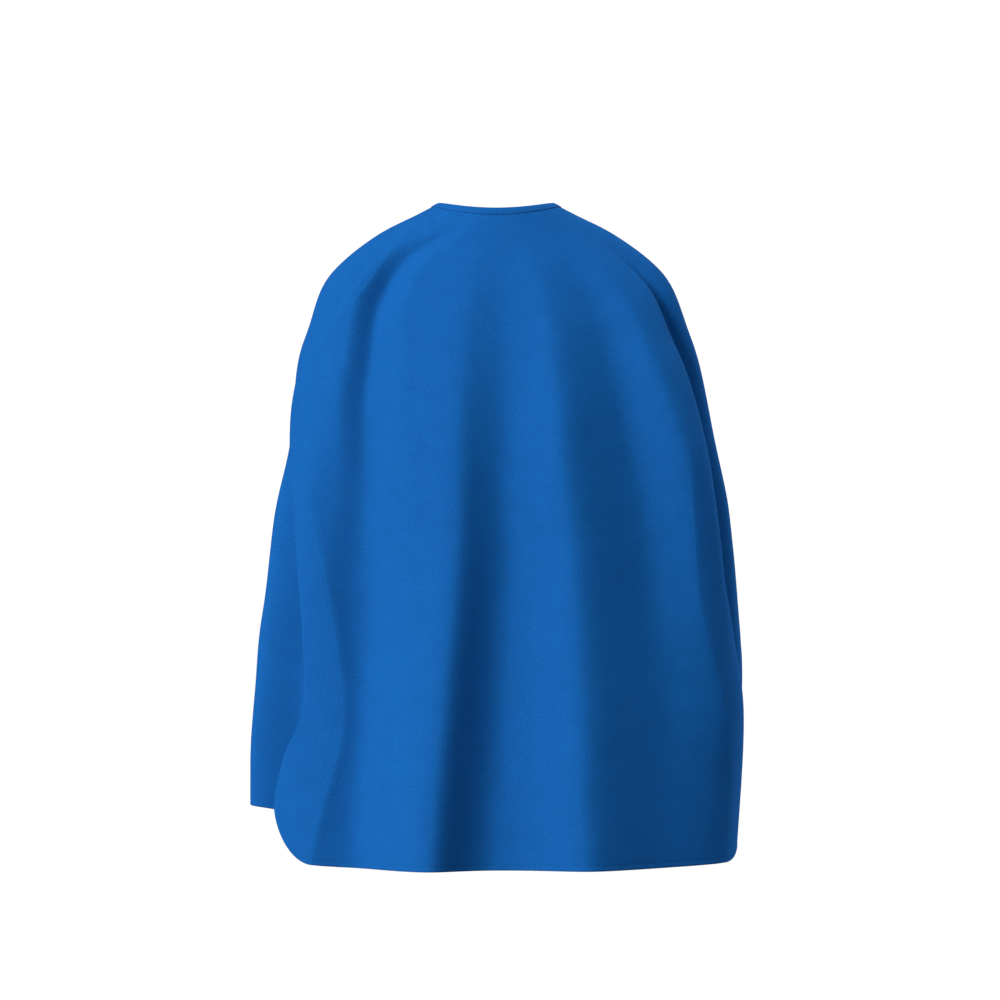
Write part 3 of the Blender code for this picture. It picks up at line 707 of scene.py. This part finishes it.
class CAPE_OT_cloth(bpy.types.Operator):
    """Adds the hanging cloth with its turned hem and front edges"""
    bl_idname = "cape.cloth"
    bl_label = "Cape cloth"

    def execute(self, context):
        sizes = context.scene.cape_sizes
        drops, points, flat = cloth_grid()
        normals = cloth_normals(points)
        half = sizes.cloth_thickness / 2
        from_hem = CAPE_LENGTH - drops
        from_front_edge = np.abs(flat[:, [0], 0]) - np.abs(flat[..., 0])
        turned = np.maximum(turned_share(from_hem, sizes.hem_width)[:, None],
                            turned_share(from_front_edge, sizes.hem_width))
        groove = np.exp(-((from_hem - GROOVE_PLACE) / GROOVE_WIDTH) ** 2)[:, None]
        rim = 1.0 - eased(from_hem, 0.0, RIM_WIDTH)[:, None]
        outer_lift = half - GROOVE_DEPTH * groove - RIM_DEPTH * rim
        inner_lift = -half - turned * (sizes.cloth_thickness + HEM_AIR) * (1 - RIM_INSIDE_SHARE * rim)
        outer = points + normals * outer_lift[..., None]
        inner = points + normals * inner_lift[..., None]
        cloth = shell("cape_cloth", outer, inner, flat)
        finish_piece(cloth, "double_knit", "cape", ["cape_panel"])
        return {'FINISHED'}


class CAPE_OT_hem_stitches(bpy.types.Operator):
    """Adds the stitches that hold the hem and the front edges, on the inside"""
    bl_idname = "cape.hem_stitches"
    bl_label = "Hem stitches"

    def execute(self, context):
        sizes = context.scene.cape_sizes
        drop = CAPE_LENGTH - sizes.hem_width + HEM_STITCH_INSET
        lift = -(sizes.cloth_thickness * 1.5 + HEM_AIR) - sizes.thread_radius * THREAD_LIFT
        edge = front_edge(drop) - HEM_CORNER_ANGLE
        angles = np.linspace(-edge, edge, 1600)
        point, down, out = cloth_frame(angles, np.full_like(angles, drop))
        stitch_row("hem_stitches", point + out * lift, -out, sizes, "cape", "hem_thread")
        for side, name in ((1, "left"), (-1, "right")):
            drops = np.linspace(EDGE_STITCH_START, CAPE_LENGTH - EDGE_STITCH_END, 400)
            inset = (sizes.hem_width - HEM_STITCH_INSET) / SIDE[0](drops)
            angles = side * (front_edge(drops) - inset)
            point, down, out = cloth_frame(angles, drops)
            stitch_row(f"front_edge_stitches_{name}", point + out * lift, -out, sizes, "cape",
                       f"front_edge_thread_{name}")
        return {'FINISHED'}


# ---------------------------------------------------------------- the neck band

BAND_OUTSIDE = 0.0016
BAND_INSIDE = -0.0024
BAND_FLAT_LENGTH = 0.44
BAND_GROOVE_INSET = 0.0018
BAND_GROOVE_LIFT = 0.00125
BAND_STITCH_MARGIN = 0.69
TAPE_LIFT = -0.00105
TAPE_HALF_THICKNESS = 0.0002
TAPE_TOP = 0.0010
TAPE_BOTTOM = 0.0070
TAPE_FLAT_LENGTH = 0.42
TAPE_MARGIN = 0.03


def band_section(height):
    """A strip folded over the neck edge: down the outside, over the top and down the inside."""
    middle, radius = (BAND_OUTSIDE + BAND_INSIDE) / 2, (BAND_OUTSIDE - BAND_INSIDE) / 2
    outside = [(height, 0.0008), (height - 0.0004, 0.0013), (height - 0.0020, BAND_GROOVE_LIFT),
               (height - 0.0032, 0.00155), (height * 0.45, BAND_OUTSIDE + 0.0002),
               (0.0015, BAND_OUTSIDE + 0.0001)]
    over = [(-radius * math.sin(turn) - 0.0002, middle + radius * math.cos(turn))
            for turn in np.linspace(0.25, math.pi - 0.25, 8)]
    inside = [(0.0015, BAND_INSIDE), (height - 0.0004, BAND_INSIDE), (height, BAND_INSIDE + 0.0004)]
    under = [(height, BAND_INSIDE + 0.0008)]
    back = [(0.0030, BAND_INSIDE + 0.0009), (0.0, BAND_INSIDE + 0.0010)]
    below = [(-radius * 0.5 * math.sin(turn) - 0.0002, middle - radius * 0.6 * math.cos(turn))
             for turn in np.linspace(0.3, math.pi - 0.3, 5)]
    front = [(0.0, 0.0008), (0.0030, 0.00075)]
    return [tuple(map(float, spot)) for spot in outside + over + inside + under + back + below + front]


class CAPE_OT_neck_band(bpy.types.Operator):
    """Adds the folded neck band, the tape inside it and its stitches"""
    bl_idname = "cape.neck_band"
    bl_label = "Neck band"

    def execute(self, context):
        sizes = context.scene.cape_sizes
        edge = float(front_edge(0.0))
        angles = np.linspace(-edge, edge, 261)
        band = swept_band("neck_band", angles, band_section(sizes.band_height), BAND_FLAT_LENGTH)
        finish_piece(band, "double_knit", "cape", ["neck_binding"])

        tape_angles = np.linspace(-edge + TAPE_MARGIN, edge - TAPE_MARGIN, 121)
        outside, inside = TAPE_LIFT + TAPE_HALF_THICKNESS, TAPE_LIFT - TAPE_HALF_THICKNESS
        section = [(TAPE_TOP, outside), (TAPE_BOTTOM, outside), (TAPE_BOTTOM, inside), (TAPE_TOP, inside)]
        tape = swept_band("neck_stay_tape_woven", tape_angles, section, TAPE_FLAT_LENGTH)
        finish_piece(tape, "woven_tape", "cape", ["neck_stay_tape"])

        limit = math.pi - BAND_STITCH_MARGIN
        angles = np.linspace(-limit, limit, 500)
        drops = np.full_like(angles, sizes.band_height - BAND_GROOVE_INSET)
        point, down, out = cloth_frame(angles, drops)
        lift = BAND_GROOVE_LIFT + sizes.thread_radius * THREAD_LIFT
        stitch_row("neck_band_stitches", point + out * lift, out, sizes, "cape", "neck_binding_thread")
        return {'FINISHED'}


# ---------------------------------------------------------------- the throat fastening

TAB_ROOT = 0.075
TAB_TIP = -0.640
TAB_TOP = 0.0010
TAB_BOTTOM = 0.0200
TAB_LIFT = 0.0051
TAB_ROOT_LIFT = 0.0025
TAB_THICKNESS = 0.0012
TAB_CORNER = 0.0060
TAB_STITCH_INSET = 0.0015
TAB_STITCH_ANGLE = 0.028
QUILT_DEPTH = 0.22
QUILT_INSET = 0.0020
QUILT_WIDTH = 0.0007
STRIP_NEAR = -0.150
STRIP_FAR = -0.590
STRIP_TOP = 0.0030
LOOP_BOTTOM = 0.0095
HOOK_BOTTOM = 0.0180
LOOP_LIFT = 0.0024
HOOK_LIFT = 0.0037
STRIP_THICKNESS = 0.0010
STRIP_CORNER = 0.0012
HOOK_STITCH_INSET = 0.0013
LOOP_STITCH_INSET = 0.0012
NECK_RADIUS = 0.072


def from_front(front_angle):
    """An angle from the centre front as an angle round the wearer."""
    return math.pi - np.asarray(front_angle)


def tab_lift(front_angle):
    """The tab starts on the left end of the band and rises over the fastening on the right end."""
    rise = eased(-np.asarray(front_angle), -TAB_ROOT, -STRIP_NEAR)
    return TAB_ROOT_LIFT + (TAB_LIFT - TAB_ROOT_LIFT) * rise


def patch(name, near, far, top, bottom, lift, thickness, corner, columns=72, rows=16, quilt=0.0):
    """A flat patch on the cloth with rounded corners at its far end and rounded edges. `quilt` is
    how much thinner it is pressed along the stitching inside its border."""
    share = 0.5 - 0.5 * np.cos(np.linspace(0.0, math.pi, columns + 1))
    angles = near + (far - near) * share
    to_end = np.abs(angles - far) * NECK_RADIUS
    corner_height = np.sqrt(np.maximum(corner ** 2 - (corner - to_end) ** 2, 0.0))
    trim = np.where(to_end < corner, corner - corner_height, 0.0)
    down_share = 0.5 - 0.5 * np.cos(np.linspace(0.0, math.pi, rows + 1))
    drops = (top + trim)[None, :] + down_share[:, None] * (bottom - top - 2 * trim)[None, :]
    angle_grid = np.broadcast_to(angles, drops.shape)
    to_edge = np.minimum(np.minimum(drops - top, bottom - drops),
                         np.minimum(np.abs(angle_grid - far), np.abs(angle_grid - near)) * NECK_RADIUS)
    to_edge = np.where(to_end[None, :] < corner, np.minimum(to_edge, np.minimum(
        drops - (top + trim)[None, :], (bottom - trim)[None, :] - drops)), to_edge)
    full = np.sqrt(np.clip(1 - (1 - np.clip(to_edge / (thickness * 0.6), 0, 1)) ** 2, 0.0, 1.0)) * 0.7 + 0.3
    pressed = quilt * np.exp(-((to_edge - QUILT_INSET) / QUILT_WIDTH) ** 2)
    half = thickness / 2 * (full - pressed)
    lifts = np.broadcast_to(lift(angle_grid), drops.shape)
    outer = cloth_place(angle_grid, drops, lifts + half)
    inner = cloth_place(angle_grid, drops, lifts - half)
    uv = np.stack([angle_grid * NECK_RADIUS, -drops], axis=-1)
    return shell(name, outer, inner, uv)


def patch_border(near, far, top, bottom, lift, inset):
    """Points and outward directions round a patch, a little inside its border."""
    along = np.linspace(near, far, 60)
    turn = inset / NECK_RADIUS * np.sign(far - near)
    along = np.clip(along, min(near + turn, far - turn), max(near + turn, far - turn))
    upper = [(angle, top + inset) for angle in along]
    end = [(along[-1], drop) for drop in np.linspace(top + inset, bottom - inset, 12)]
    lower = [(angle, bottom - inset) for angle in along[::-1]]
    start = [(along[0], drop) for drop in np.linspace(bottom - inset, top + inset, 12)]
    angles, drops = np.array(upper + end + lower + start).T
    point, down, out = cloth_frame(from_front(angles), drops)
    return point + out * lift(angles)[:, None], out


class CAPE_OT_throat_tab(bpy.types.Operator):
    """Adds the tab that closes the neck, with its stitches"""
    bl_idname = "cape.throat_tab"
    bl_label = "Throat tab"

    def execute(self, context):
        sizes = context.scene.cape_sizes
        tab = patch("throat_tab", from_front(TAB_ROOT), from_front(TAB_TIP), TAB_TOP, TAB_BOTTOM,
                    lambda angle: tab_lift(math.pi - angle), TAB_THICKNESS, TAB_CORNER, quilt=QUILT_DEPTH)
        finish_piece(tab, "double_knit", "throat_tab", ["closure_tab"])

        def face(angle):
            return tab_lift(angle) + TAB_THICKNESS / 2 * 0.80 + sizes.thread_radius * THREAD_LIFT

        points, out = patch_border(STRIP_NEAR, STRIP_FAR, STRIP_TOP, HOOK_BOTTOM, face,
                                  HOOK_STITCH_INSET)
        stitch_row("throat_tab_stitches", points, out, sizes, "throat_tab", "hook_strip_thread")

        drops = np.linspace(TAB_TOP + TAB_STITCH_INSET, TAB_BOTTOM - TAB_STITCH_INSET, 20)
        angle = TAB_ROOT - TAB_STITCH_ANGLE
        point, down, outward = cloth_frame(from_front(np.full_like(drops, angle)), drops)
        points = point + outward * float(face(angle))
        stitch_row("throat_tab_root_stitches", points, outward, sizes, "throat_tab",
                   "closure_tab_seam_thread")
        return {'FINISHED'}


def on_strip(near, far, top, bottom, pitch, jitter, seed):
    """Places over a strip at the pitch, as (front angle, drop), a little out of line."""
    angles = np.arange(near - pitch / NECK_RADIUS, far, -pitch / NECK_RADIUS)[:-1]
    drops = np.arange(top + pitch * 0.9, bottom - pitch * 0.5, pitch)
    spots = np.stack(np.meshgrid(angles, drops), axis=-1).reshape(-1, 2)
    shift = np.random.default_rng(seed).uniform(-jitter, jitter, spots.shape)
    return spots + shift * np.array([1.0 / NECK_RADIUS, 1.0])


class CAPE_OT_fastening(bpy.types.Operator):
    """Adds the hook strip under the tab and the loop strip on the band"""
    bl_idname = "cape.fastening"
    bl_label = "Hook and loop strips"

    def execute(self, context):
        sizes = context.scene.cape_sizes
        for name, bottom, lift, body, facing, pitch, wire_radius, seed in (
                ("hook_strip", HOOK_BOTTOM, HOOK_LIFT, "throat_tab", -1, 0.0017, 0.00011, 3),
                ("loop_strip", LOOP_BOTTOM, LOOP_LIFT, "cape", 1, 0.0012, 0.00009, 5)):
            kind = name.split("_")[0]
            tape_thickness = STRIP_THICKNESS * 0.5
            tape_lift = lift - facing * (STRIP_THICKNESS - tape_thickness) / 2
            tape = patch(f"{kind}_tape", from_front(STRIP_NEAR), from_front(STRIP_FAR), STRIP_TOP, bottom,
                         lambda angle, at=tape_lift: np.full_like(angle, at), tape_thickness,
                         STRIP_CORNER, 40, 10)
            finish_piece(tape, f"{kind}_nylon", body, [name])
            spots = on_strip(STRIP_NEAR, STRIP_FAR, STRIP_TOP, bottom, pitch, pitch * 0.22, seed)
            point, down, out = cloth_frame(from_front(spots[:, 0]), spots[:, 1])
            centres = point + out * (tape_lift + facing * tape_thickness * 0.4)
            swing = np.random.default_rng(seed + 1).uniform(0.0, 2 * math.pi, len(spots))[:, None]
            along = np.cross(out, down) * np.cos(swing) + down * np.sin(swing)
            template = hook_template(STRIP_THICKNESS * 0.42, wire_radius)
            pile = scattered(f"{kind}_pile", template, centres, along, out * facing)
            finish_piece(pile, f"{kind}_nylon", body)

        inside = BAND_INSIDE - sizes.thread_radius * THREAD_LIFT
        points, out = patch_border(STRIP_NEAR, STRIP_FAR, STRIP_TOP, LOOP_BOTTOM,
                                   lambda angle: np.full_like(angle, inside), LOOP_STITCH_INSET)
        stitch_row("loop_tape_stitches", points, -out, sizes, "cape", "loop_strip_thread")
        return {'FINISHED'}


# ---------------------------------------------------------------- the care label

LABEL_CURL = 0.0022
LABEL_CUP = 0.0009
LABEL_HALF_THICKNESS = 0.00016
LABEL_FOLD = 0.00012
LABEL_FOLD_WIDTH = 0.0012
LABEL_STITCH_MARGIN = 0.001
LABEL_STITCH_DROP = 0.0016
LABEL_STITCH_LIFT = 0.00022


class CAPE_OT_care_label(bpy.types.Operator):
    """Adds the blank woven label inside the neck"""
    bl_idname = "cape.care_label"
    bl_label = "Care label"

    def execute(self, context):
        sizes = context.scene.cape_sizes
        low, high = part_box("care_label")
        widths = np.linspace(low.x, high.x, 33)
        drops = np.linspace(0.0, high.z - low.z, 41)
        middle = (low.y + high.y) / 2
        across, down = np.meshgrid(widths, drops)
        length, half_width = drops[-1], high.x
        curl = (-LABEL_CURL * (down / length) ** 2
                - LABEL_CUP * (across / half_width) ** 2 * (down / length))
        half = LABEL_HALF_THICKNESS + LABEL_FOLD * np.exp(-((length - down) / LABEL_FOLD_WIDTH) ** 2)
        face = np.stack([across, middle + curl, high.z - down], axis=-1)
        lift = np.zeros_like(face)
        lift[..., 1] = half
        uv = np.stack([across, -down], axis=-1)
        label = shell("care_label_woven", face + lift, face - lift, uv)
        finish_piece(label, "label_satin", "label", ["care_label"])

        line = np.linspace(low.x + LABEL_STITCH_MARGIN, high.x - LABEL_STITCH_MARGIN, 30)
        points = np.stack([line, np.full_like(line, middle - LABEL_STITCH_LIFT),
                           np.full_like(line, high.z - LABEL_STITCH_DROP)], axis=1)
        out = np.tile([0.0, -1.0, 0.0], (len(line), 1))
        stitch_row("care_label_stitches", points, out, sizes, "label", "care_label_thread")
        return {'FINISHED'}


# ---------------------------------------------------------------- the studio

FLOOR_DEPTH = 1.45
FLOOR_RADIUS = 30.0
CAMERA_PLACE = (-0.0054, 4.17, -0.402)
CAMERA_LENS = 107.1
AMBIENT = 0.26
BACKDROP = 1.05
KEY_DIRECTION = (0.66, 0.56, 0.50)
KEY_STRENGTH = 3.9
FILL_DIRECTION = (-0.80, -0.45, 0.40)
FILL_STRENGTH = 2.0
KEY_SPREAD = 22.0
FILL_SPREAD = 40.0


def add_sun(name, direction, strength, spread):
    deselect()
    bpy.ops.object.light_add(type='SUN')
    sun = bpy.context.object
    sun.name = name
    sun.rotation_mode = 'QUATERNION'
    sun.rotation_quaternion = Vector(direction).to_track_quat('Z', 'Y')
    sun.data.energy = strength
    sun.data.angle = math.radians(spread)


class CAPE_OT_studio(bpy.types.Operator):
    """Adds the pale floor, the soft lights and the camera behind the wearer"""
    bl_idname = "cape.studio"
    bl_label = "Studio"

    def execute(self, context):
        scene = context.scene
        deselect()
        bpy.ops.mesh.primitive_circle_add(vertices=96, radius=FLOOR_RADIUS, fill_type='NGON',
                                          location=(0.0, 0.0, -FLOOR_DEPTH))
        floor = context.object
        floor.name = "floor"
        finish = Finish("studio_floor", roughness=0.9, specular_ior_level=0.0)
        finish.shader.inputs["Base Color"].default_value = (*scene.cape_colours.floor, 1.0)
        floor.data.materials.append(finish.material)
        floor.visible_diffuse = False

        world = bpy.data.worlds.new("studio")
        scene.world = world
        world.use_nodes = True
        sky = world.node_tree.nodes["Background"]
        sky.inputs["Color"].default_value = (1.0, 1.0, 1.0, 1.0)
        seen = world.node_tree.nodes.new('ShaderNodeLightPath')
        strength = world.node_tree.nodes.new('ShaderNodeMapRange')
        strength.inputs["To Min"].default_value = AMBIENT
        strength.inputs["To Max"].default_value = BACKDROP
        world.node_tree.links.new(seen.outputs["Is Camera Ray"], strength.inputs["Value"])
        world.node_tree.links.new(strength.outputs["Result"], sky.inputs["Strength"])

        add_sun("key_light", KEY_DIRECTION, KEY_STRENGTH, KEY_SPREAD)
        add_sun("fill_light", FILL_DIRECTION, FILL_STRENGTH, FILL_SPREAD)
        scene.view_settings.view_transform = 'Standard'

        bpy.ops.object.camera_add(location=CAMERA_PLACE)
        camera = context.object
        camera.rotation_mode = 'QUATERNION'
        camera.rotation_quaternion = Vector((0.0, 1.0, 0.0)).to_track_quat('Z', 'Y')
        camera.data.sensor_width = 36.0
        camera.data.lens = CAMERA_LENS
        camera.data.clip_start, camera.data.clip_end = 0.05, 100.0
        scene.camera = camera
        return {'FINISHED'}


# ---------------------------------------------------------------- the add-on

STEPS = (CAPE_OT_cloth, CAPE_OT_hem_stitches, CAPE_OT_neck_band, CAPE_OT_throat_tab,
         CAPE_OT_fastening, CAPE_OT_care_label, CAPE_OT_studio)


class CAPE_PT_panel(bpy.types.Panel):
    """Lists the cape's pieces in the sidebar"""
    bl_idname = "CAPE_PT_panel"
    bl_label = "Superhero cape"
    bl_space_type = 'VIEW_3D'
    bl_region_type = 'UI'
    bl_category = "Cape"

    def draw(self, context):
        for step in STEPS:
            self.layout.operator(step.bl_idname)
        for group in (context.scene.cape_sizes, context.scene.cape_colours):
            box = self.layout.box()
            for name in group.__annotations__:
                box.prop(group, name)


CLASSES = (CapeSizes, CapeColours) + STEPS + (CAPE_PT_panel,)


def register():
    for each in CLASSES:
        bpy.utils.register_class(each)
    bpy.types.Scene.cape_sizes = PointerProperty(type=CapeSizes)
    bpy.types.Scene.cape_colours = PointerProperty(type=CapeColours)


def unregister():
    del bpy.types.Scene.cape_colours
    del bpy.types.Scene.cape_sizes
    for each in reversed(CLASSES):
        bpy.utils.unregister_class(each)


def main():
    register()
    for step in STEPS:
        group, name = step.bl_idname.split(".")
        getattr(getattr(bpy.ops, group), name)()


if __name__ == "__main__":
    main()
